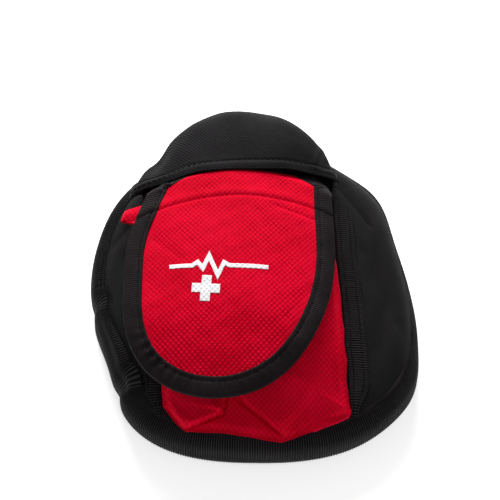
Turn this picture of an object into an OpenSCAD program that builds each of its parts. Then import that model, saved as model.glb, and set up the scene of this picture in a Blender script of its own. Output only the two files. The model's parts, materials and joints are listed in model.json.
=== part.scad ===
// A first-aid pouch: a padded black nylon carrier with a ribbed tape rim, a hood that closes its
// main compartment, and a red flapped pocket on the front. It lies on its back: +X is to the
// wearer's left, +Y towards the hood, +Z out of the front. Millimetres.

/* [Carrier] */
// Width over the rim tape
carrier_w = 200; // [190:2:210]
// Length over the rim tape
carrier_l = 204; // [196:2:212]
// Squareness of the outline, where 2 is an ellipse
outline_power = 2.5; // [2.3:0.1:2.8]
// Width of the rim tape
rim_tape_w = 22; // [18:1:22]
// Height of the side gusset's top edge above the ground
gusset_h = 24; // [23:1:26]
// Rise of the front panel from its edge to its middle
front_rise = 12; // [10:1:13]
// Extra rise of the front panel at the mouth
mouth_rise = 12; // [8:1:13]

/* [Hood] */
// Width of the hood from tip to tip
hood_w = 118; // [112:2:122]
// Height of the hood's crown above the ground
hood_h = 71; // [69:1:73]
// Height of the hood's tips above the ground
hood_tip_h = 44; // [42:1:46]

/* [Pocket] */
// Length of the pocket from its bottom to its mouth
pocket_l = 141; // [134:1:141]
// Width of the pocket's mouth
pocket_mouth_w = 107; // [100:1:110]
// Width of the pocket's bottom
pocket_bottom_w = 105; // [98:1:107]
// Height of the pocket's front above the ground, at its edges
pocket_h = 49; // [48:0.5:50]
// Width of each mounting tape
pocket_tape_w = 13; // [10:1:14]

/* [Flap] */
// Length of the flap from its fold to its tip
flap_l = 127.5; // [120:0.5:128]
// Half of the flap's width at its fold
flap_half_w = 56; // [52:1:57]
// Visible width of the flap's edge binding
binding_w = 11; // [9:1:12]

/* [Back] */
// Width of the belt that the loops take
belt_w = 52; // [40:1:56]
// Width of each belt loop's webbing
loop_w = 38; // [25:1:40]
// Distance between the centres of the two loops
loop_pitch = 84; // [70:2:96]

/* [Hidden] */

gap = 0.3;             // clearance between sewn layers
ring_steps = 72;       // points round the outline
hood_overhang = 3;     // how far the hood stands past the rim at the rear
mid_y = -hood_overhang / 2;
half_w = carrier_w / 2;
half_l = carrier_l / 2;

tape_t = 3.2;          // rim tape, doubled over the edge
gusset_t = 2.5;
gusset_in = tape_t + 0.2;
panel_in = gusset_in + gusset_t + gap;
front_t = 2.5;
piping_h = 3;

loop_t = 2.1;
loop_clear = 5.3;      // gap between a belt loop and the back panel
back_z = 8;
back_t = 2;
foam_t = 3;
lining_t = 0.8;

mouth_y = mid_y + 73;  // where the front panel ends, under the hood
mouth_half = 52;       // half of the straight part of the mouth
mouth_corner = 16;     // how far the front panel runs on past the mouth's corners
hinge_z = 34;          // the hood's fold, on the rear wall
hood_x = -10;
hood_t = 2.4;
hood_lining_t = 1;
hood_hem_w = 5;
hood_front_y = 60;
hood_bow = 4;          // how far the hood's tips come forward
hood_rear_y = half_l + mid_y + hood_overhang;
hood_tip_y = 62;
hem_drop = 8;          // how far the hood's front edge lies below its crown
rear_wall_in = 0.4;

fold_y = 46;           // the flap's fold
flap_tip_shift = -12;  // sideways lean of the flap's tip
flap_x = -10;
flap_spread = 7;       // extra half width of the flap towards its tip
flap_corner = 8;       // how far the flap narrows at its fold
flap_t = 2;
binding_over = 0.8;    // how far the binding stands over the panel

pocket_top_y = 42;
pocket_bottom_y = pocket_top_y - pocket_l;
pocket_top_x = -4.5;
pocket_bottom_x = 2.5;
pocket_corner = 17;    // how far the bottom's corners lie above its middle
pocket_t = 2;
wall_t = 1.8;
pocket_crown = 5;
cover_drop = 8;        // how far the flap falls towards its tip
pocket_drop = 12;      // how much further the pocket falls towards its bottom
pocket_half_crown = 62;
tape_end_y = -75;

cross_x = -27;
cross_y = -22;
cross_w = 15.5;
cross_bar = 5.4;
// Points along the printed heartbeat line
pulse = [[-48, -8], [-41, -7.8], [-35, -7.8], [-32, -5.5], [-29, -9.5], [-25.5, -1.5],
    [-20.5, -14], [-17, -6], [-14, -8], [-7, -8.2], [0, -8.5], [8, -9]];
pulse_n = len(pulse) - 1;
pulse_w = 2.6;
print_t = 0.4;
print_gap = 0.4;

// Heights of the layers over the pocket's front surface
patch_t = 1.2;
loop_patch_z = 0.1;
hook_patch_z = 1.6;
flap_lining_z = 3.0;
flap_lining_top_z = 4.0;
flap_panel_z = 4.1;
flap_top_z = flap_panel_z + flap_t;

black = [0.07, 0.07, 0.075];
black_tape = [0.12, 0.12, 0.125];
red = [0.75, 0.03, 0.07];
white = [0.92, 0.92, 0.92];
grey = [0.35, 0.35, 0.37];

// ---- Plain functions ----

function blend(a, b, t) = a + (b - a) * t;
function clamp01(t) = min(1, max(0, t));
function unit(v) = v / norm(v);
function smooth(t) = let (c = clamp01(t)) c * c * (3 - 2 * c);

// One point of the carrier's outline at angle a, moved in by inset
function outline_point(a, inset) =
    let (p = 2 / outline_power)
    [sign(cos(a)) * (half_w - inset) * pow(abs(cos(a)), p),
     mid_y + sign(sin(a)) * (half_l - inset) * pow(abs(sin(a)), p)];

function outline(inset) =
    [for (i = [0 : ring_steps - 1]) outline_point((i + 0.5) * 360 / ring_steps, inset)];

// Distance from the outline's middle line to its edge, at x
function outline_reach(x, inset) =
    (half_l - inset) * pow(max(0, 1 - pow(abs(x) / (half_w - inset), outline_power)),
        1 / outline_power);

// How far a point lies towards the panel's edge, from 0 at the middle to 1
function edge_share(x, y) =
    pow(abs(x) / (half_w - panel_in), outline_power)
    + pow(abs(y - mid_y) / (half_l - panel_in), outline_power);

// Height of the front panel's outer surface
function front_z(x, y) =
    gusset_h + front_rise * (1 - pow(min(1, edge_share(x, y)), 1.5))
    + mouth_rise * exp(-pow((x - hood_x) / 45, 2)) * smooth((y - 22) / 54);

// Where the front panel ends, at x: across the mouth, then on round its corners
function front_end(x) =
    mouth_y + mouth_corner * smooth((abs(x - hood_x) - mouth_half) / 10);

// Height of the surface that the flap lies over
function cover_z(x, y) =
    pocket_h + pocket_crown * (1 - pow((x - hood_x) / pocket_half_crown, 2))
    - cover_drop * smooth((-28 - y) / 60);

// Height of the pocket's outer surface, which falls away under the flap's tip
function pocket_z(x, y) = cover_z(x, y) - pocket_drop * smooth((-48 - y) / 50);

function pocket_side(y, side) =
    let (t = (pocket_top_y - y) / pocket_l)
    blend(pocket_top_x, pocket_bottom_x, t)
    + side * blend(pocket_mouth_w, pocket_bottom_w, t) / 2;

// A point of the pocket in plan: u from side to side, v from its bottom to its mouth
function pocket_point(u, v, inset) =
    let (low = pocket_bottom_y + pocket_corner * pow(abs(2 * u - 1), 3) + inset,
        y = blend(low, pocket_top_y, v))
    [blend(pocket_side(y, -1), pocket_side(y, 1), u), y];

// Half width of the flap at v, from 0 at its fold to 1 at its tip
function flap_half(v, inset) =
    (flap_half_w + flap_spread * v - flap_corner * pow(max(0, 1 - v / 0.12), 2) - inset)
    * sqrt(max(0, 1 - pow(v, 4)));

// The three surfaces again, as values that a module can take
on_front = function(x, y) front_z(x, y);
on_pocket = function(x, y) pocket_z(x, y);
on_cover = function(x, y) cover_z(x, y);

function flap_point(v, side, inset) =
    [flap_x + flap_tip_shift * v + side * flap_half(v, inset),
     fold_y - gap - (flap_l - inset) * v];

// ---- Building blocks ----

// A closed skin between an outer and an inner surface, each a function of u and v from 0 to 1
module skin(outer, inner, nu, nv) {
    w = nv + 1;
    count = (nu + 1) * w;
    points = [for (f = [outer, inner]) for (i = [0 : nu]) for (j = [0 : nv]) f(i / nu, j / nv)];
    sheet = [for (i = [0 : nu - 1]) for (j = [0 : nv - 1])
        [i * w + j, i * w + j + 1, (i + 1) * w + j + 1, (i + 1) * w + j]];
    rim = concat([for (j = [0 : nv]) j], [for (i = [1 : nu]) i * w + nv],
        [for (j = [nv - 1 : -1 : 0]) nu * w + j], [for (i = [nu - 1 : -1 : 1]) i * w]);
    n = len(rim);
    sides = [for (k = [0 : n - 1])
        [rim[k], count + rim[k], count + rim[(k + 1) % n], rim[(k + 1) % n]]];
    back = [for (q = sheet) [count + q[3], count + q[2], count + q[1], count + q[0]]];
    polyhedron(points, concat(sheet, sides, back), convexity = 6);
}

// A skin of even thickness over a height function, between two side functions of y
module layer(x_low, x_high, y_low, y_high, height, top, bottom, nu, nv) {
    function at(u, v, dz) =
        let (y = blend(y_low, y_high, v), x = blend(x_low(y), x_high(y), u))
        [x, y, height(x, y) + dz];
    skin(function(u, v) at(u, v, top), function(u, v) at(u, v, bottom), nu, nv);
}

module ring(inset, thickness, low, high) {
    translate([0, 0, low]) linear_extrude(high - low) difference() {
        polygon(outline(inset));
        polygon(outline(inset + thickness));
    }
}

module plate(inset, low, high) {
    translate([0, 0, low]) linear_extrude(high - low) polygon(outline(inset));
}

// ---- Carrier ----

module rim_tape() {
    color(black_tape) ring(0, tape_t, 0, rim_tape_w);
}

module side_gusset() {
    color(black) ring(gusset_in, gusset_t, back_z, gusset_h);
}

// Wall behind the mouth, from the gusset up to the hood's fold
module rear_wall() {
    end = 0.95;
    function at(u, v, inward) =
        let (s = end * sin(blend(-90, 90, u)), y = hood_rear(s) - gap - inward,
            x = hood_x + s * (hood_w / 2 - inward * 0.3),
            rim_y = mid_y + outline_reach(x, rear_wall_in + inward),
            foot = gusset_h + gap + (front_z(x, y) - gusset_h) * smooth((abs(s) - 0.8) / 0.06))
        [x, blend(min(y, rim_y), y, v), blend(foot, hinge_z, v)];
    color(black) skin(function(u, v) at(u, v, gusset_t), function(u, v) at(u, v, 0), 26, 3);
}

module edge_piping() {
    mouth_w = hood_w - 8;
    color(black_tape) difference() {
        ring(gusset_in, gusset_t, gusset_h + 0.1, gusset_h + piping_h);
        translate([hood_x - mouth_w / 2, mouth_y, 0]) cube([mouth_w, carrier_l, carrier_w]);
    }
}

module back_panel() {
    color(black) plate(panel_in, back_z, back_z + back_t);
}

module back_foam() {
    color(grey) plate(panel_in + 2, back_z + back_t + 0.1, back_z + back_t + foam_t);
}

module inner_lining() {
    low = back_z + back_t + foam_t + 0.1;
    color(black) plate(panel_in, low, low + lining_t);
}

module front_panel() {
    reach = half_w - panel_in - 1.2;
    function at(u, v, dz) =
        let (x = reach * sin(blend(-90, 90, u)), far = outline_reach(x, panel_in),
            y = blend(mid_y - far, min(mid_y + far, front_end(x)), v))
        [x, y, front_z(x, y) + dz];
    color(black) skin(function(u, v) at(u, v, 0), function(u, v) at(u, v, -front_t), 26, 18);
}

module mouth_binding() {
    width = 4;
    color(black_tape) layer(
        function(y) hood_x - mouth_half + 5, function(y) hood_x + mouth_half - 5,
        mouth_y + 0.2, mouth_y + width,
        function(x, y) front_z(x, mouth_y), 1, -front_t - 1, 20, 1);
}

// Loop side of the hood's fastening, sewn to the front panel just under the hood's edge
module hood_loop_strip() {
    color(grey) layer(function(y) -34, function(y) 18, mouth_y - 5, mouth_y - 0.5,
        on_front, gap + patch_t, gap, 10, 2);
}

module belt_loop(side) {
    half = belt_w / 2 + 1;
    leg = 3;
    land = 7;
    low = back_z - 0.1 - loop_clear - loop_t;
    top = back_z - 0.1;
    color(black_tape) translate([side * loop_pitch / 2 - loop_w / 2, 0, 0])
        rotate([90, 0, 90]) linear_extrude(loop_w) polygon([
            [-half - leg - land, top - loop_t], [-half - leg, top - loop_t],
            [-half - leg / 2, low], [half + leg / 2, low],
            [half + leg, top - loop_t], [half + leg + land, top - loop_t],
            [half + leg + land, top], [half, top], [half, low + loop_t],
            [-half, low + loop_t], [-half, top], [-half - leg - land, top]]);
}

module belt_loop_left() { belt_loop(-1); }
module belt_loop_right() { belt_loop(1); }

// ---- Pocket ----

module pocket_tape(side) {
    near = gap + 0.2;
    tape_top = 1.8;
    low = side < 0 ? -pocket_tape_w - near : near;
    color(black_tape) layer(
        function(y) pocket_side(y, side) + low,
        function(y) pocket_side(y, side) + low + pocket_tape_w,
        tape_end_y, pocket_top_y + 9, on_front, tape_top, gap, 3, 18);
}

module pocket_tape_left() { pocket_tape(-1); }
module pocket_tape_right() { pocket_tape(1); }

module pocket_front() {
    function at(u, v, dz) =
        let (p = pocket_point(u, v, 0)) [p[0], p[1], pocket_z(p[0], p[1]) - dz];
    color(red) skin(function(u, v) at(u, v, 0), function(u, v) at(u, v, pocket_t), 20, 18);
}

// Where a pocket wall starts: on the front panel, or just over the piping beside it
function wall_foot(x, y) = max(front_z(x, y), gusset_h + piping_h) + gap;

// A point on a pocket wall that stands at p, at t of its height
function wall_point(p, t) =
    [p[0], p[1], blend(wall_foot(p[0], p[1]), pocket_z(p[0], p[1]) - pocket_t - 0.1, t)];

module pocket_gusset(side) {
    function at(u, v, dx) =
        let (p = pocket_point(side < 0 ? 0 : 1, u, wall_t + gap))
        wall_point([p[0] - side * dx, p[1]], v);
    outer = function(u, v) at(u, v, side > 0 ? 0 : wall_t);
    inner = function(u, v) at(u, v, side > 0 ? wall_t : 0);
    color(red) skin(outer, inner, 16, 3);
}

module pocket_gusset_left() { pocket_gusset(-1); }
module pocket_gusset_right() { pocket_gusset(1); }

module pocket_gusset_bottom() {
    function at(u, v, dy) = wall_point(pocket_point(u, 0, dy), v);
    color(red) skin(function(u, v) at(u, v, 0), function(u, v) at(u, v, wall_t), 20, 3);
}

// Folded hem along the pocket's mouth
module pocket_hem() {
    color(red) layer(function(y) pocket_side(y, -1) + 2.5, function(y) pocket_side(y, 1) - 2.5,
        pocket_top_y - 8, pocket_top_y, on_pocket, -pocket_t - 0.1, -pocket_t - 1.3, 14, 2);
}

// One half of the flap's hook-and-loop fastening, at a height over the pocket
module fastening_patch(height, low) {
    centre = flap_x + flap_tip_shift * 0.8;
    color(grey) layer(function(y) centre - 25, function(y) centre + 25, -60, -40,
        height, low + patch_t, low, 10, 5);
}

module pocket_loop_patch() { fastening_patch(on_pocket, loop_patch_z); }
module flap_hook_patch() { fastening_patch(on_cover, hook_patch_z); }

// ---- Flap ----

// The strip that holds the flap, sewn down under the hood
module flap_root() {
    length = 17;
    narrowing = 0.4;
    drop = 14;
    side_drop = 5;
    function at(u, v, dz) =
        let (y = blend(fold_y + gap, fold_y + length, v), across = 2 * u - 1,
            x = flap_x + across * (flap_half_w - flap_corner - narrowing * (y - fold_y)))
        [x, y, cover_z(x, y) + flap_top_z - 0.3 - drop * smooth(v * 0.9)
            - side_drop * across * across * smooth(v * 3) + dz];
    color(red) skin(function(u, v) at(u, v, 0), function(u, v) at(u, v, -flap_t), 14, 8);
}

// The flap's area inside its binding, as a layer between two heights
module flap_layer(inset, top, low) {
    function at(u, v, dz) =
        let (t = sin(86 * v), a = flap_point(t, -1, inset), b = flap_point(t, 1, inset),
            x = blend(a[0], b[0], u))
        [x, a[1], cover_z(x, a[1]) + dz];
    skin(function(u, v) at(u, v, low), function(u, v) at(u, v, top), 14, 16);
}

module flap_panel() {
    color(red) flap_layer(binding_w - 3, flap_top_z, flap_panel_z);
}

module flap_lining() {
    color(black) flap_layer(binding_w - 3, flap_lining_top_z, flap_lining_z);
}

// Tape folded over the flap's free edge, in a U from one end of the fold to the other
module flap_binding() {
    function at(u, v, dz) =
        let (t = sin(90 - abs(2 * u - 1) * 90), side = u < 0.5 ? -1 : 1,
            p = flap_point(t, side, blend(0, binding_w - 3.3, v)))
        [p[0], p[1], cover_z(p[0], p[1]) + dz];
    color(black_tape) skin(
        function(u, v) at(u, v, flap_top_z + binding_over),
        function(u, v) at(u, v, flap_lining_z - 0.2), 56, 2);
}

// Plain cross printed on the flap, tangent to it at the cross's own centre
module flap_cross() {
    slope_x = cover_z(cross_x + 0.5, cross_y) - cover_z(cross_x - 0.5, cross_y);
    slope_y = cover_z(cross_x, cross_y + 0.5) - cover_z(cross_x, cross_y - 0.5);
    color(white)
        translate([cross_x, cross_y, cover_z(cross_x, cross_y) + flap_top_z + print_gap])
        rotate([atan(slope_y), -atan(slope_x), 0]) linear_extrude(print_t) {
            square([cross_w, cross_bar], center = true);
            square([cross_bar, cross_w], center = true);
        }
}

// One edge of the printed line at its point i, with mitred corners
function pulse_edge(i, side) =
    let (before = pulse[max(0, i - 1)], here = pulse[i], after = pulse[min(pulse_n, i + 1)],
        a = i > 0 ? unit(here - before) : unit(after - here),
        b = i < pulse_n ? unit(after - here) : a,
        along = unit(a + b), across = [-along[1], along[0]],
        reach = pulse_w / 2 / max(0.4, across * [-a[1], a[0]]))
    here + side * reach * across;

// Line of a heartbeat printed above the cross
module flap_pulse() {
    function at(u, v, dz) =
        let (p = pulse_edge(round(u * pulse_n), blend(-1, 1, v)))
        [p[0], p[1], cover_z(p[0], p[1]) + flap_top_z + print_gap + dz];
    color(white) skin(function(u, v) at(u, v, 0), function(u, v) at(u, v, print_t), pulse_n, 1);
}

// ---- Hood ----

// Where the hood's rear edge lies, at s from -1 to 1 between its tips
function hood_rear(s) = blend(hood_tip_y, hood_rear_y, sqrt(max(0, 1 - s * s)));

// A point of the hood: s runs from tip to tip, v from the front edge over to the fold
function hood_point(s, v, t) =
    let (crown = hood_tip_h + (hood_h - hood_tip_h) * pow(max(0, 1 - pow(abs(s), 4)), 0.8),
        front = hood_front_y - hood_bow * s * s,
        rear = hood_rear(s) - t,
        drop = hem_drop * (1 - v) * (1 - v) * (1 - 0.5 * s * s))
    [hood_x + s * (hood_w / 2 - t * 0.2),
     blend(front, rear, pow(sin(90 * v), 0.8)),
     hinge_z + gap + (crown - t - hinge_z - gap) * pow(max(0, cos(90 * v)), 0.35) - drop];

module hood_shell(outer_t, inner_t, v_low) {
    function at(u, v, t) = hood_point(sin(blend(-90, 90, u)), blend(v_low, 1, v), t);
    skin(function(u, v) at(u, v, inner_t), function(u, v) at(u, v, outer_t), 26, 12);
}

module hood_panel() {
    color(black) hood_shell(0, hood_t, 0);
}

module hood_lining() {
    color(grey) hood_shell(hood_t + 0.1, hood_t + 0.1 + hood_lining_t, 0.02);
}

// Turned and stitched front edge of the hood
module hood_hem() {
    function at(u, v, dz) =
        let (p = hood_point(sin(blend(-88, 88, u)), 0, 0))
        [p[0], p[1] - blend(hood_hem_w, 0.2, v), p[2] + dz];
    color(black_tape) skin(function(u, v) at(u, v, 0.4), function(u, v) at(u, v, -3), 26, 1);
}

// Hook side of the hood's fastening, under its crown
module hood_hook_strip() {
    function at(u, v, dz) =
        let (p = hood_point(blend(-0.35, 0.35, u), 0.12, hood_t + hood_lining_t + 0.2))
        [p[0], p[1] + blend(0, 5, v), p[2] + dz];
    color(grey) skin(function(u, v) at(u, v, -0.8), function(u, v) at(u, v, -2), 10, 1);
}

rim_tape();
side_gusset();
rear_wall();
edge_piping();
back_panel();
back_foam();
inner_lining();
front_panel();
mouth_binding();
hood_loop_strip();
belt_loop_left();
belt_loop_right();
pocket_tape_left();
pocket_tape_right();
pocket_front();
pocket_gusset_left();
pocket_gusset_right();
pocket_gusset_bottom();
pocket_hem();
pocket_loop_patch();
flap_root();
flap_panel();
flap_lining();
flap_binding();
flap_hook_patch();
flap_cross();
flap_pulse();
hood_panel();
hood_lining();
hood_hem();
hood_hook_strip();
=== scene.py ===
"""A first-aid pouch of black nylon with a red flapped pocket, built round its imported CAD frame.

Shapes are worked out in millimetres and become metres as each mesh is made. Every cloth mesh
carries a UV map named "cloth" that holds the place on the flat cloth, in metres.
"""

import json
import math

import bpy
import numpy as np
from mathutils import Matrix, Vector


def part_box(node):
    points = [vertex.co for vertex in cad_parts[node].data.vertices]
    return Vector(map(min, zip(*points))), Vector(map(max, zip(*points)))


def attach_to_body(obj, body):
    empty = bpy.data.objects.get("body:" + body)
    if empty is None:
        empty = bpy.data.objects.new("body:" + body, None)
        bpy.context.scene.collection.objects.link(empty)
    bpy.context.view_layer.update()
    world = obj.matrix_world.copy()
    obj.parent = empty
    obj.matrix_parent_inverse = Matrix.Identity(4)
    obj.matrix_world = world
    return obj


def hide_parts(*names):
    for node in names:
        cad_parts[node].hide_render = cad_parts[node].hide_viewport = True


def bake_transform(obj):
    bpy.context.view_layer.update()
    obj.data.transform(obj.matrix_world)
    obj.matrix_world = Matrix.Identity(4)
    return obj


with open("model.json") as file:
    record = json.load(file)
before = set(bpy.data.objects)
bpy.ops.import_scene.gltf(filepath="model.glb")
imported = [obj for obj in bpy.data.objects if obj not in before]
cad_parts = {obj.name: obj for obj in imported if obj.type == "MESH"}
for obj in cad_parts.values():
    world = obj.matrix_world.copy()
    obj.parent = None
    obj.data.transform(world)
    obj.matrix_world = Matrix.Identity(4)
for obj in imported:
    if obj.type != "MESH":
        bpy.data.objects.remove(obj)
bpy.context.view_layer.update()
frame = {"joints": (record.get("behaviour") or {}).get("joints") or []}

MM = 0.001


def limits(node):
    """A CAD node's lowest and highest corners, in millimetres."""
    low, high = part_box(node)
    return np.array(low) / MM, np.array(high) / MM


def joint_place(name):
    found = next(j for j in frame["joints"] if j["name"] == name)
    return np.array(found["pos_m"]) / MM


# ---- Sizes, from the frame ----

rim_low, rim_high = limits("rim_tape")
HALF_W, HALF_L = (rim_high - rim_low)[:2] / 2
MID_Y = (rim_high + rim_low)[1] / 2
POWER = 2.5  # squareness of the outline
GUSSET_TOP = limits("side_gusset")[1][2]
BACK_Z = limits("back_panel")[0][2]
PANEL_IN = 6.2

hood_low, hood_high = limits("hood_panel")
HOOD_X = (hood_low + hood_high)[0] / 2
HOOD_HALF = (hood_high - hood_low)[0] / 2
HINGE_Z = joint_place("hood_fold")[2]
HOOD_REAR = hood_high[1]
HOOD_TIP_Y = 62.0
HOOD_CROWN = 71.0
HOOD_TIP_H = 44.0
HOOD_FRONT = 60.0

FOLD_Y = joint_place("flap_fold")[1]
FLAP_L = FOLD_Y - limits("flap_binding")[0][1]
FLAP_X = -10.0
FLAP_LEAN = -12.0
FLAP_HALF = 56.0
FLAP_SPREAD = 7.0
FLAP_TOP = 6.1  # the flap's face over the surface that it covers
BINDING_W = 11.0
SEAM_IN = BINDING_W - 2.6  # from the flap's edge in to the binding's stitches

POCKET_TOP = limits("pocket_front")[1][1]
POCKET_BOTTOM = limits("pocket_front")[0][1]
POCKET_TOP_X, POCKET_BOTTOM_X = -4.5, 2.5
POCKET_TOP_W, POCKET_BOTTOM_W = 107.0, 105.0
PRINT_LIFT = 0.22
TAPE_RIB, BINDING_RIB, HOOK_PITCH = 1.4, 1.3, 1.6
DOT_U, DOT_V = 3.0, 3.2  # the red cloth's repeat across and down


# ---- Plain functions, on arrays of millimetres ----


def smooth(t):
    c = np.clip(t, 0, 1)
    return c * c * (3 - 2 * c)


def mix(a, b, t):
    return a + (b - a) * t


def bell(distance, width):
    return np.exp(-((distance / width) ** 2))


def from_edge(u):
    """Share of a piece from its nearer edge, for u from 0 to 1 across it."""
    return np.minimum(u, 1 - u)


def ripples(x, y, seed, size):
    """Gentle unevenness from about -1 to 1 over a plane, the same on every run."""
    draw = np.random.RandomState(seed)
    total = 0
    for _ in range(6):
        angle = draw.uniform(0, math.tau)
        wave = size * draw.uniform(0.6, 1.6)
        start = draw.uniform(0, math.tau)
        total = total + np.sin((x * math.cos(angle) + y * math.sin(angle)) * math.tau / wave + start)
    return total / 4


def off_line(x, y, ax, ay, bx, by):
    """(distance to the left of the line from a to b, share of the way along it)."""
    dx, dy = bx - ax, by - ay
    length = math.hypot(dx, dy)
    return (dx * (y - ay) - dy * (x - ax)) / length, (dx * (x - ax) + dy * (y - ay)) / length**2


def crease(x, y, ax, ay, bx, by, width, depth):
    """A valley along a line, which fades out past its ends."""
    side, along = off_line(x, y, ax, ay, bx, by)
    return -depth * np.exp(-np.abs(side) / width) * smooth(along * 5 + 0.5) * smooth((1 - along) * 5 + 0.5)


def tuck(x, y, ax, ay, bx, by, width, height, fade=14):
    """A fold whose left side lies over its right side, and which flattens out to the left."""
    side, along = off_line(x, y, ax, ay, bx, by)
    ends = smooth(along * 6 + 0.5) * smooth((1 - along) * 6 + 0.5)
    return height * smooth(side / width + 0.5) * np.exp(-np.maximum(side, 0) / fade) * ends


def outline_reach(x, inset):
    share = np.clip(1 - np.abs(x / (HALF_W - inset)) ** POWER, 0, 1)
    return (HALF_L - inset) * share ** (1 / POWER)


def edge_share(x, y):
    return np.abs(x / (HALF_W - PANEL_IN)) ** POWER + np.abs((y - MID_Y) / (HALF_L - PANEL_IN)) ** POWER


def front_z(x, y):
    mouth = 12 * bell(x - HOOD_X, 45) * smooth((y - 22) / 54)
    return GUSSET_TOP + 12 * (1 - np.minimum(1, edge_share(x, y)) ** 1.5) + mouth


def cover_z(x, y):
    return 49 + 5 * (1 - ((x - HOOD_X) / 62) ** 2) - 8 * smooth((-28 - y) / 60) - 2.5 * smooth((25 - y) / 90)


def pocket_z(x, y):
    return cover_z(x, y) - 12 * smooth((-48 - y) / 50)


def slack(x, y):
    """The carrier's outline as it lies: narrower above, full at its lower right, pinched at its left."""
    near = smooth((edge_share(x, y) - 0.35) / 0.6)
    left = 8.2 * bell(y + 50, 26) + 1.8 * bell(y + 14, 6) + 2.2 * bell(y + 66, 5)
    right = 6.4 * bell(y + 68, 22) - 9.0 * bell(y - 28, 40)
    fall = smooth((-60 - y) / 40) * (1 + 1.4 * smooth(x / 70)) + 4.5 * bell(x - 66, 20) * smooth(y / 60)
    return x + near * (left * smooth(-x / 60) + right * smooth(x / 60)), y - near * fall


def brim(x, y):
    """Where the full front panel bulges out over the rim tape: at the carrier's upper right."""
    return smooth(x / 60) * bell(y - 30, 52)


# ---- Meshes ----


def show(name, data):
    """A new object with that data, in the scene."""
    obj = bpy.data.objects.new(name, data)
    bpy.context.scene.collection.objects.link(obj)
    return obj


def build(name, points, faces, uv, material, thickness=0.0):
    """An object from arrays in millimetres. uv has a row for each corner of each face, or is None."""
    mesh = bpy.data.meshes.new(name)
    mesh.from_pydata((points * MM).tolist(), [], faces.tolist())
    if uv is not None:
        mesh.uv_layers.new(name="cloth").data.foreach_set("uv", (uv * MM).astype(np.float32).ravel())
    mesh.polygons.foreach_set("use_smooth", np.ones(len(faces), bool))
    mesh.materials.append(material)
    mesh.update()
    obj = show(name, mesh)
    if thickness:
        solid = obj.modifiers.new("thickness", "SOLIDIFY")
        solid.thickness = thickness * MM
        solid.offset = -1
    return obj


def cloth(name, points, flat, material, thickness=0.0, closed=False, flip=False):
    """A grid of points, (columns, rows, 3), with the place of each on the flat cloth."""
    nu, nv = points.shape[0] - 1, points.shape[1] - 1
    columns = nu if closed else nu + 1
    i, j = (a.ravel() for a in np.meshgrid(np.arange(nu), np.arange(nv), indexing="ij"))
    ring = [(0, 0), (1, 0), (1, 1), (0, 1)]
    if flip:
        ring.reverse()
    faces = np.stack([((i + a) % columns) * (nv + 1) + j + b for a, b in ring], axis=1)
    uv = np.stack([flat[i + a, j + b] for a, b in ring], axis=1)
    return build(name, points[:columns].reshape(-1, 3), faces, uv, material, thickness)


def square_grid(nu, nv):
    return np.meshgrid(np.linspace(0, 1, nu + 1), np.linspace(0, 1, nv + 1), indexing="ij")


def stack(*parts):
    return np.stack(np.broadcast_arrays(*parts), axis=-1)


def normals_of(points):
    n = np.cross(np.gradient(points, axis=0), np.gradient(points, axis=1))
    return n / np.maximum(np.linalg.norm(n, axis=-1, keepdims=True), 1e-9)


def lengths_along(points):
    """Distance along a line of points, from 0 at its first."""
    return np.concatenate([[0], np.cumsum(np.linalg.norm(np.diff(points, axis=0), axis=1))])


def places(at, far, line):
    """The places at distances at along a line whose own points are at distances far."""
    return np.stack([np.interp(at, far, column) for column in line.T], axis=-1)


def even_line(points, step):
    """The same line with points an even distance apart, and that distance along it."""
    far = lengths_along(points)
    at = np.linspace(0, far[-1], max(2, int(round(far[-1] / step)) + 1))
    return places(at, far, points), at


def unit(vectors):
    return vectors / np.linalg.norm(vectors, axis=1, keepdims=True)


def left_of(vectors):
    """Plan vectors turned a quarter turn to the left."""
    return np.stack([-vectors[:, 1], vectors[:, 0]], axis=1)


def along_and_in(path):
    """Unit tangents of a plan path, and unit normals to its left."""
    along = unit(np.gradient(path, axis=0))
    return along, left_of(along)


def profile(knots, rows):
    """A smooth line through given (inset, height) knots, with points an even distance apart."""
    knots = np.array(knots, float)
    fine = []
    padded = np.vstack([2 * knots[0] - knots[1], knots, 2 * knots[-1] - knots[-2]])
    for a, b, c, d in zip(padded, padded[1:], padded[2:], padded[3:]):
        t = np.linspace(0, 1, 12, endpoint=False)[:, None]
        square, cube = 2 * a - 5 * b + 4 * c - d, 3 * b - a - 3 * c + d
        fine.append(0.5 * (2 * b + (c - a) * t + square * t**2 + cube * t**3))
    line = np.vstack([*fine, knots[-1:]])
    far = lengths_along(line)
    at = np.linspace(0, far[-1], rows + 1)
    return places(at, far, line), at


def attach(obj, body, slot, *nodes):
    """Rides obj on its body's empty, or for the flap and hood bakes its transform into its mesh, in place of
    CAD nodes.
    """
    if body == "flap":
        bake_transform(obj)
    elif body == "hood":
        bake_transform(obj)
    else:
        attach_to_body(obj, body)
    if nodes:
        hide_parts(*nodes)


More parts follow.
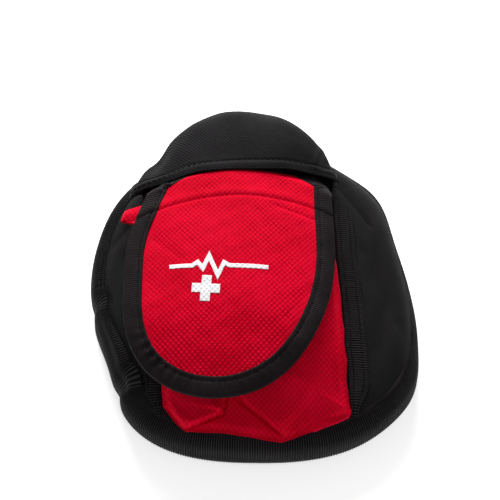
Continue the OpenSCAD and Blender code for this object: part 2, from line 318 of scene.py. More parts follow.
def stitches(name, rows, body, material, slot, pitch=3.1, length=2.3, width=0.62, height=0.42):
    """Rows of thread lying on a surface. Each row is (points, normals) along its line."""
    around, rings = 8, 6
    lat = np.linspace(0, math.pi, rings + 1)
    lon = np.arange(around) * math.tau / around
    full = np.sin(lat) ** 0.6
    shape = stack(
        (-np.cos(lat) * length / 2)[:, None],
        full[:, None] * np.cos(lon) * width / 2,
        full[:, None] * np.sin(lon) * height,
    ).reshape(-1, 3)
    i, j = (a.ravel() for a in np.meshgrid(np.arange(rings), np.arange(around), indexing="ij"))
    quads = np.stack([i * around + j, i * around + (j + 1) % around,
                      (i + 1) * around + (j + 1) % around, (i + 1) * around + j], axis=1)
    points, faces = [], []
    for line, normal in rows:
        far = lengths_along(line)
        for at in np.arange(pitch / 2, far[-1] - pitch / 3, pitch):
            middle, before, after, up = (
                places(at + step, far, source)
                for step, source in ((0, line), (-0.6, line), (0.6, line), (0, normal))
            )
            x = (after - before) / np.linalg.norm(after - before)
            y = np.cross(up, x)
            y /= np.linalg.norm(y)
            faces.append(quads + len(points) * len(shape))
            points.append(middle + shape @ np.stack([x, y, np.cross(x, y)]))
    attach(build(name, np.vstack(points), np.vstack(faces), None, material), body, slot)


def line_on(surface, path, lift):
    """A plan path laid that far over surface(x, y), as (points, normals)."""
    _, left = along_and_in(path)
    sides = [path + left * d for d in (-0.4, 0, 0.4)]
    strip = np.stack([stack(p[:, 0], p[:, 1], surface(p[:, 0], p[:, 1]) + lift) for p in sides], axis=1)
    return strip[:, 1], normals_of(strip)[:, 1]


def row_on(points, row):
    """One row of a flipped grid, as (points, normals)."""
    return points[:, row], -normals_of(points)[:, row]


# ---- Materials ----


class Graph:
    """A material's nodes, joined by short calls."""

    def __init__(self, name, roughness, sheen=0.0, sheen_roughness=0.5, specular=0.08):
        self.material = bpy.data.materials.new(name)
        self.material.use_nodes = True
        self.tree = self.material.node_tree
        self.shader = self.tree.nodes["Principled BSDF"]
        self.shader.inputs["Roughness"].default_value = roughness
        self.shader.inputs["Sheen Weight"].default_value = sheen
        self.shader.inputs["Sheen Roughness"].default_value = sheen_roughness
        self.shader.inputs["Specular IOR Level"].default_value = specular

    def feed(self, socket, value):
        if isinstance(value, bpy.types.NodeSocket):
            self.tree.links.new(value, socket)
        else:
            socket.default_value = value

    def math(self, operation, a, b=0.0, c=0.0):
        node = self.tree.nodes.new("ShaderNodeMath")
        node.operation = operation
        for socket, value in zip(node.inputs, (a, b, c)):
            self.feed(socket, value)
        return node.outputs[0]

    def read(self, place):
        """Takes its place, in millimetres, from a node's output in metres."""
        scale = self.tree.nodes.new("ShaderNodeVectorMath")
        scale.operation = "SCALE"
        scale.inputs["Scale"].default_value = 1 / MM
        self.feed(scale.inputs[0], place)
        self.place = scale.outputs[0]
        parts = self.tree.nodes.new("ShaderNodeSeparateXYZ")
        self.feed(parts.inputs[0], self.place)
        self.u, self.v = parts.outputs[0], parts.outputs[1]
        return self

    def on_cloth(self):
        source = self.tree.nodes.new("ShaderNodeUVMap")
        source.uv_map = "cloth"
        return self.read(source.outputs[0])

    def on_object(self):
        return self.read(self.tree.nodes.new("ShaderNodeTexCoord").outputs["Object"])

    def wave(self, pitch, a=1.0, b=0.0):
        """A sine from -1 to 1 along the direction (a, b) of the cloth, once every pitch."""
        across = self.math("MULTIPLY", self.u, a * math.tau / pitch)
        total = self.math("MULTIPLY_ADD", self.v, b * math.tau / pitch, across)
        return self.math("SINE", total)

    def checks(self, across, down):
        """Dots in staggered rows, from -1 to 1, with that repeat across and down the cloth."""
        return self.math("MULTIPLY", self.wave(across, 1, 0), self.wave(down, 0, 1))

    def noise(self, size, detail=2.0):
        """Noise from 0 to 1 with features of that size in millimetres."""
        node = self.tree.nodes.new("ShaderNodeTexNoise")
        node.inputs["Scale"].default_value = 1 / size
        node.inputs["Detail"].default_value = detail
        self.feed(node.inputs["Vector"], self.place)
        return node.outputs[0]

    def add(self, *terms):
        """The sum of (socket, weight) pairs."""
        total = 0.0
        for socket, weight in terms:
            total = self.math("MULTIPLY_ADD", socket, weight, total)
        return total

    def colour(self, factor, *stops):
        """The base colour from (factor, colour) stops."""
        ramp = self.tree.nodes.new("ShaderNodeValToRGB")
        elements = ramp.color_ramp.elements
        while len(elements) < len(stops):
            elements.new(0.5)
        for element, (at, rgb) in zip(elements, stops):
            element.position = at
            element.color = (*rgb, 1)
        self.feed(ramp.inputs[0], factor)
        self.feed(self.shader.inputs["Base Color"], ramp.outputs[0])

    def rough(self, factor, low, high):
        """Roughness that varies between two values."""
        self.feed(self.shader.inputs["Roughness"], self.math("MULTIPLY_ADD", factor, high - low, low))

    def bump(self, height, distance):
        """Relief of that height in millimetres."""
        node = self.tree.nodes.new("ShaderNodeBump")
        node.inputs["Distance"].default_value = distance * MM
        node.inputs["Strength"].default_value = 1.0
        self.feed(node.inputs["Height"], height)
        self.feed(self.shader.inputs["Normal"], node.outputs[0])


def tint(shade):
    """A warm near-black."""
    return shade * 1.03, shade * 0.93, shade * 1.04


def black_twill(name, shade):
    """Diagonal twill, 1.4 mm between its lines, with threads across them, painted shade in the grooves of
    its lines and a worn bloom.
    """
    g = Graph(name, 0.72, sheen=0.015, sheen_roughness=0.45).on_cloth()
    line = g.wave(1.95, 1, 1)
    threads = g.wave(0.7, 1, -1)
    blotch = g.noise(34, 3)
    fuzz = g.noise(0.5, 2)
    # The twill line also darkens the colour in its grooves: painted shade.
    g.colour(g.add((line, 0.13), (threads, 0.05), (blotch, 0.75), (fuzz, 0.25)),
             (0.2, tint(shade * 0.45)), (0.5, tint(shade)), (0.85, tint(shade * 2)))
    g.rough(g.noise(9), 0.62, 0.82)
    g.bump(g.add((line, 0.5), (threads, 0.16), (fuzz, 0.35)), 0.17)
    return g.material


def ribbed_tape():
    """Grosgrain: the ribs are in the mesh, and these are the fine threads that cross them, with painted
    shade and highlight of the ribs in the colour.
    """
    g = Graph("ribbed_tape", 0.62, sheen=0.015, sheen_roughness=0.4).on_cloth()
    threads = g.wave(0.42, 0, 1)
    ribs = g.wave(TAPE_RIB, 1, 0)
    blotch = g.noise(26, 3)
    fuzz = g.noise(0.6, 2)
    # The ribs' wave in the colour darkens the grooves and lightens the crests: painted shade and highlight.
    g.colour(g.add((ribs, 0.46), (threads, 0.06), (blotch, 0.6), (fuzz, 0.35)),
             (0.1, tint(0.0012)), (0.5, tint(0.0085)), (0.95, tint(0.030)))
    g.rough(g.noise(7), 0.5, 0.72)
    g.bump(g.add((ribs, 0.4), (threads, 0.2), (fuzz, 0.3)), 0.12)
    return g.material


def black_binding():
    """Fine-ribbed binding tape, a little warmer and paler than the carrier."""
    g = Graph("black_binding", 0.66, sheen=0.015, sheen_roughness=0.4).on_cloth()
    threads = g.wave(0.4, 0, 1)
    ribs = g.wave(BINDING_RIB, 1, 0)
    blotch = g.noise(22, 3)
    fuzz = g.noise(0.5, 2)
    g.colour(g.add((ribs, 0.08), (threads, 0.05), (blotch, 0.8), (fuzz, 0.3)),
             (0.15, (0.0045, 0.0032, 0.0038)), (0.5, (0.0115, 0.0082, 0.0095)), (0.9, (0.025, 0.018, 0.020)))
    g.rough(g.noise(6), 0.56, 0.76)
    g.bump(g.add((ribs, 0.4), (threads, 0.2), (fuzz, 0.3)), 0.1)
    return g.material


def red_dobby():
    """Red cloth whose raised dots are in the mesh, with its threads, shaded grooves and faint fading."""
    g = Graph("red_dobby", 0.58, specular=0.02).on_cloth()
    dots = g.checks(DOT_U, DOT_V)
    threads = g.checks(0.62, 0.62)
    blotch = g.noise(30, 3)
    fuzz = g.noise(0.6, 2)
    g.colour(g.add((dots, 0.22), (threads, 0.08), (blotch, 0.55), (fuzz, 0.4)),
             (0.1, (0.46, 0.0002, 0.007)), (0.5, (0.72, 0.0008, 0.022)), (0.95, (0.88, 0.004, 0.048)))
    g.rough(g.noise(5), 0.48, 0.7)
    g.bump(g.add((threads, 0.4), (fuzz, 0.45)), 0.11)
    return g.material


def white_print():
    """White ink: thinner in the grooves of the cloth, where a little red shows through."""
    g = Graph("white_print", 0.55).on_cloth()
    dots = g.checks(DOT_U, DOT_V)
    speck = g.noise(0.7, 3)
    g.colour(g.add((dots, 0.06), (speck, 0.9)),
             (0.12, (0.80, 0.55, 0.58)), (0.26, (0.90, 0.88, 0.90)), (0.8, (0.97, 0.96, 0.97)))
    g.bump(g.add((dots, 0.2), (speck, 0.4)), 0.08)
    return g.material


def lining_cloth():
    """Dark coated lining with a fine square weave."""
    g = Graph("lining", 0.5, sheen=0.02).on_cloth()
    weave = g.checks(0.8, 0.8)
    blotch = g.noise(28, 3)
    g.colour(g.add((weave, 0.15), (blotch, 0.9)),
             (0.2, (0.010, 0.010, 0.012)), (0.55, (0.022, 0.022, 0.025)), (0.9, (0.042, 0.042, 0.047)))
    g.rough(g.noise(8), 0.42, 0.6)
    g.bump(g.add((weave, 0.5), (g.noise(0.7), 0.3)), 0.09)
    return g.material


def hook_and_loop():
    """Rows of tiny hooks or a napped loop face."""
    g = Graph("hook_and_loop", 0.9, sheen=0.06, sheen_roughness=0.6).on_cloth()
    rows = g.checks(HOOK_PITCH, HOOK_PITCH)
    nap = g.noise(0.45, 4)
    g.colour(g.add((rows, 0.25), (nap, 0.9)),
             (0.2, (0.006, 0.006, 0.007)), (0.55, (0.022, 0.022, 0.024)), (0.9, (0.06, 0.06, 0.064)))
    g.bump(g.add((rows, 0.5), (nap, 1.0)), 0.45)
    return g.material


def webbing():
    """Belt webbing: herringbone between plain edges."""
    g = Graph("webbing", 0.6, sheen=0.02).on_cloth()
    bone = g.math("MULTIPLY", g.wave(2.4, 1, 1), g.wave(9.5, 1, 0))
    threads = g.wave(0.9, 0, 1)
    fuzz = g.noise(0.6, 2)
    g.colour(g.add((bone, 0.22), (threads, 0.12), (g.noise(24, 3), 0.7), (fuzz, 0.25)),
             (0.2, (0.008, 0.008, 0.009)), (0.5, (0.019, 0.019, 0.020)), (0.9, (0.042, 0.041, 0.042)))
    g.bump(g.add((bone, 0.5), (threads, 0.35), (fuzz, 0.3)), 0.28)
    return g.material


def foam():
    """Closed-cell foam sheet."""
    g = Graph("foam", 0.85).on_object()
    cells = g.noise(0.8, 4)
    g.colour(g.add((cells, 0.7), (g.noise(18), 0.4)), (0.3, (0.18, 0.18, 0.19)), (0.7, (0.34, 0.34, 0.36)))
    g.bump(cells, 0.4)
    return g.material


def sewing_thread(name, dark, pale):
    """Twisted thread, glossier than the tapes."""
    g = Graph(name, 0.6, specular=0.06).on_object()
    twist = g.wave(0.5, 1, 1)
    g.colour(g.add((twist, 0.3), (g.noise(6), 0.7)), (0.2, dark), (0.8, pale))
    g.bump(twist, 0.08)
    return g.material


# The hood's twill is the same black twill made lighter: painted light, for the light that falls on the
# hood's top.
TWILL, HOOD_TWILL_PAINTED_LIGHT = black_twill("black_twill", 0.0085), black_twill("hood_twill_painted_light", 0.0125)
TAPE, BINDING, RED = ribbed_tape(), black_binding(), red_dobby()
PRINT, LINING, HOOK, WEB = white_print(), lining_cloth(), hook_and_loop(), webbing()
FOAM, THREAD = foam(), sewing_thread("thread", (0.004, 0.004, 0.004), (0.016, 0.015, 0.016))
RED_THREAD = sewing_thread("red_thread", (0.30, 0.002, 0.008), (0.55, 0.004, 0.018))


def dobby(x, y):
    """Height of the red cloth's raised dots, in staggered rows."""
    uneven = 0.35 * np.sin(x / 7 + 1.3 * np.sin(y / 11))
    dots = np.sin(x * math.tau / DOT_U + uneven) * np.sin(y * math.tau / DOT_V + uneven)
    return 0.27 * (1 + 0.4 * ripples(x, y, 91, 8)) * np.clip(dots, -0.3, 1)


# ---- Carrier ----


def outline_path(inset, step):
    """The carrier's outline as it lies, anticlockwise from its right, closed, with its lengths."""
    a = np.linspace(0, math.tau, 721)
    p = 2 / POWER
    x = np.sign(np.cos(a)) * (HALF_W - inset) * np.abs(np.cos(a)) ** p
    y = MID_Y + np.sign(np.sin(a)) * (HALF_L - inset) * np.abs(np.sin(a)) ** p
    return even_line(np.stack(slack(x, y), axis=1), step)


def ring_cloth(name, knots, rows, step, material, relief=None, thickness=0.0, flip=False):
    """A tape or wall swept round the outline along a profile of (inset, height) knots."""
    path, at = outline_path(0, step)
    path[-1] = path[0]
    line, wide = profile(knots, rows)
    _, inward = along_and_in(np.vstack([path[-2], path, path[1]]))
    inward = inward[1:-1]
    inward[-1] = inward[0]
    s, w = np.meshgrid(at, wide, indexing="ij")
    inset, z = np.broadcast_to(line[:, 0], s.shape), np.broadcast_to(line[:, 1], s.shape)
    if relief:
        inset, z = relief(s, w, inset, z, at[-1], wide[-1], path[:, None, :])
    plan = path[:, None, :] + inward[:, None, :] * inset[..., None]
    points = stack(plan[..., 0], plan[..., 1], z)
    points[-1] = points[0]
    return cloth(name, points, stack(s, w), material, thickness, closed=True, flip=flip)


def rim_tape():
    """Wide ribbed tape rolled over the carrier's thick edge, with the slack that it lies with."""
    turns = round(outline_path(0, 1)[1][-1] / TAPE_RIB)
    knots = [(10.2, 24.6), (8.6, 25.6), (6.2, 25.4), (3.4, 22.6), (1.3, 16.5), (0.5, 9.5), (0.4, 3.2),
             (1.6, 0.7), (3.8, 0.9), (5.0, 3.4), (5.4, BACK_Z + 0.6)]

    def relief(s, w, inset, z, around, wide, path):
        x, y = path[..., 0], path[..., 1]
        ribs = 0.34 * np.sin(s * math.tau * turns / around)
        lies = np.sin(s * math.tau * 5 / around + 1) * 0.5 + np.sin(s * math.tau * 11 / around) * 0.35
        outer = bell(w / wide - 0.45, 0.22)
        at_right = 0.5 * bell(y + 52, 30) - 0.3 * bell(y - 25, 45)
        wider = 1 + 0.45 * smooth((-20 - y) / 60) + smooth(x / 60) * at_right
        upper = smooth((z - 18) / 6)
        inset = inset * mix(1, wider, upper)
        hold = 1 - inset / np.hypot(x, y)
        over = np.maximum(z, front_surface(x * hold, y * hold) + 0.8)
        covered = brim(x, y)
        sunk = 4.5 * covered * smooth((z - 15) / 8)
        z = mix(z, over, smooth((inset - 4.5) / 3) * upper * (1 - covered)) - sunk
        return inset - ribs * smooth(w / 1.5) - lies * outer * 0.9, z + 0.5 * lies * outer + ribs * 0.5

    obj = ring_cloth("rim_tape_soft", knots, 30, TAPE_RIB / 5, TAPE, relief, flip=True)
    attach(obj, "carrier", "ribbed_tape", "rim_tape")


def side_gusset():
    knots = [(6.6, BACK_Z), (6.3, 14), (6.6, 20), (8.8, GUSSET_TOP + 0.2)]
    obj = ring_cloth("side_gusset_soft", knots, 8, 2.0, TWILL, thickness=1.4)
    attach(obj, "carrier", "black_twill", "side_gusset")


def edge_piping():
    """A thin welt in the seam between the rim tape and the front panel."""
    r = 1.25
    knots = [(10.6 + r * math.cos(a), GUSSET_TOP + 1.0 + r * math.sin(a)) for a in np.linspace(-0.6, 3.7, 9)]
    obj = ring_cloth("edge_piping_soft", knots, 10, 0.8, BINDING)
    attach(obj, "carrier", "black_binding", "edge_piping")


def panel_relief(x, y):
    """How the front panel differs from its plain dome: a full edge, soft folds and dents."""
    share = edge_share(x, y)
    z = (2.6 - 2.2 * smooth((-35 - y) / 40)) * bell(share - 0.80, 0.13) - 1.6 * bell(share - 1.0, 0.05)
    z = z + 0.7 * ripples(x, y, 3, 60) + 0.22 * ripples(x, y, 8, 17)
    z = z + crease(x, y, 50, 68, 78, 36, 3.0, 1.6) + crease(x, y, -62, 58, -86, 20, 3.0, 1.3)
    z = z + crease(x, y, 66, 20, 84, -34, 3.5, 1.2) + crease(x, y, -66, -20, -60, -74, 2.5, 1.3)
    z = z + 3.0 * bell(x - 44, 11) * bell(y - 53, 10)
    return z - 1.2 * bell(x - 57, 7) * bell(y + 20, 60) - 1.2 * bell(x + 57, 7) * bell(y + 20, 60)


def front_surface(x, y):
    return front_z(x, y) + panel_relief(x, y)


def front_panel():
    inset = PANEL_IN + 0.4
    reach = HALF_W - inset
    u, v = square_grid(200, 190)
    x = reach * np.sin((u - 0.5) * math.pi * 0.985)
    far = outline_reach(x, inset)
    mouth_y = limits("mouth_binding")[0][1] - 0.2
    end = np.minimum(MID_Y + far, mouth_y + 26 * smooth((np.abs(x - HOOD_X) - 50) / 8))
    y = mix(MID_Y - far, end, 0.5 - 0.5 * np.cos(v * math.pi))
    z = front_surface(x, y)
    px, py = slack(x, y)
    bulge = brim(px, py) * smooth((edge_share(x, y) - 0.72) / 0.28)
    px, py = px * (1 + 0.045 * bulge), py * (1 + 0.022 * bulge)
    z = z - 1.2 * bulge**2 + 2.0 * brim(px, py) * bell(edge_share(x, y) - 0.9, 0.1)
    obj = cloth("front_panel_soft", stack(px, py, z), stack(x, y), TWILL, thickness=1.6)
    attach(obj, "carrier", "black_twill", "front_panel")


def mouth_binding():
    """Tape folded over the mouth's edge."""
    low, high = limits("mouth_binding")
    u, v = square_grid(240, 16)
    x = mix(low[0], high[0], u)
    a = v * 1.7 * math.pi - 0.35 * math.pi
    ribs = 0.12 * np.sin(x * math.tau / BINDING_RIB)
    y = low[1] + 1.2 + (2.2 + ribs) * np.sin(a)
    z = front_surface(x, low[1] + 0 * x) - 0.9 + (1.9 + ribs) * np.cos(a)
    obj = cloth("mouth_binding_soft", stack(x, y, z), stack(x, v * 11), BINDING, thickness=0.5)
    attach(obj, "carrier", "black_binding", "mouth_binding")


def hook_rows(x, y):
    """Height of rows of hooks, from 0 to 1."""
    return np.clip(np.sin(x * math.tau / HOOK_PITCH) * np.sin(y * math.tau / HOOK_PITCH), 0, 1)


def patch(name, node, surface, lift, body, hooks):
    """One half of a fastening: a stitched-down rectangle of hook or loop tape."""
    low, high = limits(node)
    wide, deep = (high - low)[:2]
    u, v = square_grid(120, max(24, int(deep / 0.4)))
    x, y = mix(low[0], high[0], u), mix(low[1], high[1], v)
    edge = np.minimum(from_edge(u) * wide, from_edge(v) * deep)
    side, nap = (-1, 0.22 * hook_rows(x, y)) if hooks else (1, 0.12 * ripples(x, y, 21, 1.5))
    z = surface(x, y) + lift + side * (0.7 * smooth(edge / 0.8) + nap)
    obj = cloth(name, stack(x, y, z), stack(x, y), HOOK, thickness=0.6, flip=hooks)
    attach(obj, body, "hook_and_loop", node)


def back_pad():
    """The padded back: quilted cloth, a foam sheet and the compartment's lining."""
    for name, node, material, slot, level, turn in (
        ("back_panel_soft", "back_panel", TWILL, "black_twill", BACK_Z, True),
        ("inner_lining_soft", "inner_lining", LINING, "lining", limits("inner_lining")[1][2], False),
    ):
        inset = PANEL_IN + 0.2
        u, v = square_grid(170, 170)
        x = (HALF_W - inset) * np.sin((u - 0.5) * math.pi * 0.99)
        far = outline_reach(x, inset)
        y = MID_Y + far * np.sin((v - 0.5) * math.pi * 0.99)
        quilt = sum(np.exp(-np.abs(np.sin(line * math.pi / 44)) * 9) for line in (x + y, x - y))
        z = level + (1.1 * quilt if turn else -0.5 * quilt + 0.25 * ripples(x, y, 5, 40))
        px, py = slack(x, y)
        obj = cloth(name, stack(px, py, z), stack(x, y), material, thickness=0.8, flip=turn)
        attach(obj, "carrier", slot, node)
    low, high = limits("back_foam")
    path, at = outline_path(PANEL_IN + 2.4, 2.5)
    levels = np.array([0, 0.12, 0.5, 1, 1, 1, 1, 0.5, 0.12, 0])
    heights = np.array([0, 0, 0, 0, 0.25, 0.75, 1, 1, 1, 1])
    shrink = np.array([0.0, 0.3, 0.7, 0.992, 1, 1, 0.992, 0.7, 0.3, 0.0])
    middle = np.array([0, MID_Y])
    plan = middle + (path - middle)[:, None, :] * shrink[None, :, None]
    z = mix(low[2] + 0.1, high[2] - 0.1, heights)[None, :] + 0 * plan[..., 0]
    z = z + 0.12 * ripples(plan[..., 0], plan[..., 1], 4, 30) * levels[None, :]
    points = stack(plan[..., 0], plan[..., 1], z)
    points[-1] = points[0]
    obj = cloth("back_foam_soft", points, stack(plan[..., 0], plan[..., 1]), FOAM, closed=True, flip=True)
    attach(obj, "carrier", "foam", "back_foam")


def belt_loop(node):
    """A webbing loop with boxed and crossed stitching at both ends."""
    low, high = limits(node)
    top, t = high[2], 2.0
    y_end, y_leg = high[1], high[1] - 7
    knots = [(-y_end, top - 1), (-y_leg - 1.5, top - 1), (-y_leg + 1.6, top - 4.2), (-y_leg + 5, low[2] + 1),
             (0, low[2] + 0.8), (y_leg - 5, low[2] + 1), (y_leg - 1.6, top - 4.2), (y_leg + 1.5, top - 1),
             (y_end, top - 1)]
    line, at = profile(knots, 190)
    u, w = np.meshgrid(np.linspace(0, 1, 61), at, indexing="ij")
    x = mix(low[0], high[0], u)
    edge = from_edge(u) * (high - low)[0]
    y = np.broadcast_to(line[:, 0], x.shape)
    z = line[:, 1] - (t / 2 - 0.5 + 0.5 * smooth(edge / 1.2)) + 0.08 * np.sin(w * math.tau / 1.8)
    points = stack(x, y, z)
    obj = cloth(f"{node}_soft", points, stack(x, w), WEB, thickness=1.6, flip=True)
    attach(obj, "carrier", "webbing", node)
    rows = []
    for end in (-1, 1):
        a, b = sorted((end * (y_leg + 1.2), end * (y_end - 1.2)))
        left, right = low[0] + 2, high[0] - 2
        corners = [(left, a), (right, a), (right, b), (left, b), (left, a), (right, b)]
        for p, q in [*zip(corners, corners[1:]), ((left, b), (right, a))]:
            path = np.linspace(p, q, 30)
            deep = np.full(len(path), top - 2.15)
            rows.append((stack(path[:, 0], path[:, 1], deep), np.tile([0, 0, -1.0], (len(path), 1))))
    stitches(f"{node}_stitches", rows, "carrier", THREAD, "webbing")


# ---- Pocket ----


def pocket_side(y, side):
    t = (POCKET_TOP - y) / (POCKET_TOP - POCKET_BOTTOM)
    return mix(POCKET_TOP_X, POCKET_BOTTOM_X, t) + side * mix(POCKET_TOP_W, POCKET_BOTTOM_W, t) / 2


def pocket_low(x):
    """The pocket's bottom edge: straight runs of slack cloth between four corners."""
    corners = [(-53, -77), (-39, -94), (-14, -95.6), (15.5, -100.6), (54, -85), (57, -78)]
    total = 0
    for shift in (-1.6, -0.8, 0, 0.8, 1.6):
        total = total + np.interp(x + shift, *zip(*corners))
    return total / 5


def pocket_folds(x, y):
    """Creases and tucks of the crumpled pocket, deepest towards its bottom."""
    z = tuck(x, y, -41, -94.5, -17.7, -85.7, 0.9, 4.4, 16)
    z = z + tuck(x, y, -17.7, -85.7, -15.2, -74, 0.9, 3.6, 9)
    z = z + crease(x, y, -40, -94.6, -17.2, -86.3, 0.55, 2.6)
    z = z + crease(x, y, -17.2, -86.3, -14.8, -76, 0.55, 2.6)
    z = z + tuck(x, y, -10.5, -76, 15, -96.5, 0.9, 4.8, 20) + crease(x, y, -11, -76.6, 14.4, -97, 0.6, 3.0)
    z = z - 2.6 * bell(x + 11, 9) * bell(y + 82, 9)
    z = z + crease(x, y, -22.5, -78, -20.5, -84.5, 0.5, 1.8) + crease(x, y, -33, -90, -47, -76, 2.2, 1.2)
    side, along = off_line(x, y, 21, -67.7, 55, -85.5)
    z = z + 3.0 * np.exp(-np.abs(side) / 5) * smooth(along * 3 + 0.6)
    z = z + crease(x, y, 46, 12, 42, -52, 3.5, 1.0) - 1.0 * bell(x - 30, 9) * bell(y + 58, 14)
    low = smooth((-50 - y) / 30)
    crumple = 0.7 * ripples(x, y, 12, 26) + 0.35 * ripples(x, y, 14, 11)
    return z + low * crumple + 0.5 * ripples(x, y, 15, 45)


def pocket_face(x, y):
    return pocket_z(x, y) + pocket_folds(x, y)


def wall_foot(x, y):
    return np.maximum(front_surface(x, y), GUSSET_TOP + 2.2)


def pocket_front():
    u, v = square_grid(260, 310)
    span = mix(pocket_side(POCKET_BOTTOM, -1), pocket_side(POCKET_BOTTOM, 1), u)
    y = mix(pocket_low(span), POCKET_TOP, v)
    lean = 3.2 + 2.4 * smooth((y + 20) / 60) - 1.9 * smooth((-60 - y) / 25)
    x = mix(pocket_side(y, -1) + 0.8, pocket_side(y, 1) - lean, u)
    edge = np.minimum(from_edge(u) * 105, v * 130)
    roll = -2.4 * (1 - smooth(edge / 4.5))
    z = pocket_z(x, y) + pocket_folds(x, y) * smooth(edge / 5 + 0.3) + roll + dobby(x, y)
    z = z - 0.5 * bell(y - (POCKET_TOP - 8), 0.7)
    z = np.maximum(z, wall_foot(x, y) + 1.2)
    points = stack(x, y, z)
    obj = cloth("pocket_front_soft", points, stack(x, y), RED, thickness=0.9)
    attach(obj, "carrier", "red_dobby", "pocket_front")
    return points


def pocket_wall(front):
    """The pocket's side and bottom walls in one strip. The bottom one slopes back under the front."""
    top = np.vstack([front[0, ::-1], front[1:-1, 0], front[-1, :]])
    top, at = even_line(top, 0.5)
    reach = 9
    average = np.ones(2 * reach + 1) / (2 * reach + 1)
    padded = np.pad(top[:, :2], ((reach, reach), (0, 0)), "edge")
    soft = np.stack([np.convolve(column, average, "valid") for column in padded.T], axis=1)
    _, left = along_and_in(soft)
    out = -left
    low = smooth((-60 - top[:, 1]) / 22)[:, None]
    right = smooth(top[:, 0] / 20)[:, None]
    foot_out = (1 - low) * (1.0 + 0.6 * right) - 6.5 * low
    s, w = np.meshgrid(at, np.linspace(0, 1, 31), indexing="ij")
    swell = np.sin(w * math.pi) ** 0.8
    swell = swell * (0.5 + 1.3 * low * (1 - w) + 0.5 * ripples(s, w * 20, 31, 24))
    away = foot_out * w**1.3 + swell + dobby(s, w * 18)
    x, y = top[:, :1] + out[:, :1] * away, top[:, 1:2] + out[:, 1:2] * away
    foot = wall_foot(x[:, -1:], y[:, -1:])
    z = mix(top[:, 2:3], foot, w)
    obj = cloth("pocket_wall_soft", stack(x, y, z), stack(s, w * 18), RED, thickness=0.9, flip=True)
    attach(obj, "carrier", "red_dobby", "pocket_gusset_left", "pocket_gusset_right", "pocket_gusset_bottom")


def pocket_hem():
    """The turned hem inside the pocket's mouth, with its row of stitches."""
    low, high = limits("pocket_hem")
    left, right = low[0] + 2, high[0] - 7
    u, v = square_grid(200, 24)
    x, y = mix(left, right, u), mix(low[1], high[1] + 0.6, v)
    roll = smooth((v - 0.88) / 0.12)
    z = pocket_face(x, y) - 1.7 + 1.5 * roll + 0.5 * dobby(x, y)
    obj = cloth("pocket_hem_soft", stack(x, y, z), stack(x, y), RED, thickness=0.8, flip=True)
    attach(obj, "carrier", "red_dobby", "pocket_hem")
    row = np.linspace((left + 1, POCKET_TOP - 7.5), (right - 1, POCKET_TOP - 7.5), 120)
    stitches("pocket_hem_stitches", [line_on(pocket_face, row, 0.1)], "carrier", RED_THREAD, "red_dobby")


def pocket_ear():
    """The corner of the pocket's mouth, folded double and pinched out sideways from under the flap."""
    knots = [(-58, 47), (-66, 46.4), (-73, 45.2), (-76.2, 44.2), (-78, 42.6), (-76.8, 40.8), (-72, 39.8),
             (-62, 39)]
    line, at = profile(knots, 110)
    u, w = np.meshgrid(np.linspace(0, 1, 41), at, indexing="ij")
    x, z = np.broadcast_to(line[:, 0], u.shape), np.broadcast_to(line[:, 1], u.shape)
    tip = smooth((-62 - x) / 17)
    under = smooth((w / at[-1] - 0.5) / 0.3)
    y = mix(mix(29, 31.5, tip) + 1.8 * under, mix(40.5, 38, tip) - 1.2 * under, u)
    x = x + 1.8 * tip * (u - 0.5)
    z = z + 0.9 * np.sin(u * math.pi) * (1 - 2 * under) + 0.5 * dobby(w, y)
    obj = cloth("pocket_ear", stack(x, y, z), stack(w, y), RED, thickness=0.9, flip=True)
    attach(obj, "carrier", "red_dobby")


def pocket_tape(side, node):
    """Ribbed tape that holds the pocket's edge down, with two rows of stitches."""
    low, high = limits(node)
    width = 12.6
    y = np.linspace(low[1] - 9, high[1], 600)
    u, _ = square_grid(26, len(y) - 1)
    y = np.broadcast_to(y, u.shape)
    ragged = 0.5 * ripples(y, 0 * y, 41 + side, 30)
    tucked = 1 - 0.72 * smooth((low[1] + 12 - y) / 21) ** 1.4
    start = -0.9 if side > 0 else -0.6 - width * tucked
    x = pocket_side(y, side) + start + ragged + width * tucked * u
    edge = from_edge(u) * width
    grooves = bell(u * width - 3.4, 0.5) + bell(u * width - width + 3.2, 0.5)
    ribs = 0.16 * np.sin(y * math.tau / 1.45 + 0.25 * np.sin(u * 5))
    x = x - 0.85 * (slack(x, y)[0] - x)
    z = front_surface(x, y) + 0.35 + 0.8 * smooth(edge / 0.7) + 0.7 * smooth(edge / 3) - 0.5 * grooves + ribs
    px, py = slack(x, y)
    points = stack(px, py, z)
    obj = cloth(f"{node}_soft", points, stack(y, u * width), TAPE, thickness=0.8)
    attach(obj, "carrier", "ribbed_tape", node)
    up = normals_of(points)
    rows = [(points[column] + up[column] * 0.05, up[column]) for column in (7, 19)]
    stitches(f"{node}_stitches", rows, "carrier", THREAD, "ribbed_tape")


# ---- Flap ----


def flap_edge(v, side, inset):
    """A point of the flap's outline in plan, at v from its fold to its tip, or behind its fold below 0."""
    half = (FLAP_HALF + FLAP_SPREAD * v - inset) * np.sqrt(np.maximum(0, 1 - np.maximum(0, v) ** 4))
    half = half - 20 * np.maximum(0, -v) - 130 * np.maximum(0, -v - 0.06)
    half = half + 2.4 * (side > 0) * bell(v - 0.38, 0.34)
    half = half + (side < 0) * (2.2 * bell(v - 0.3, 0.16) - 4.5 * smooth((0.24 - v) / 0.36))
    return FLAP_X + FLAP_LEAN * v + side * half, FOLD_Y - 0.3 - (FLAP_L - 0.3 - inset * (v > 0)) * v


def across_flap(u, t, inset):
    """Plan places at u from the flap's left edge to its right, and t from its fold to its tip."""
    left, y = flap_edge(t, -1, inset)
    right, _ = flap_edge(t, 1, inset)
    return mix(left, right, u), y


def seam_y(x):
    """Where the flap's top seam runs."""
    return 39.4 - 8.4 * ((x + 9.6) / 45) ** 2


def root_drop(x, y):
    """How far the flap's cloth falls under the hood: later in its middle, and less at its right."""
    off = x - FLAP_X
    return (17 - 6.5 * smooth(off / 40)) * smooth((y - FOLD_Y - 9.5 + 10 * (off / 44) ** 2) / 15)


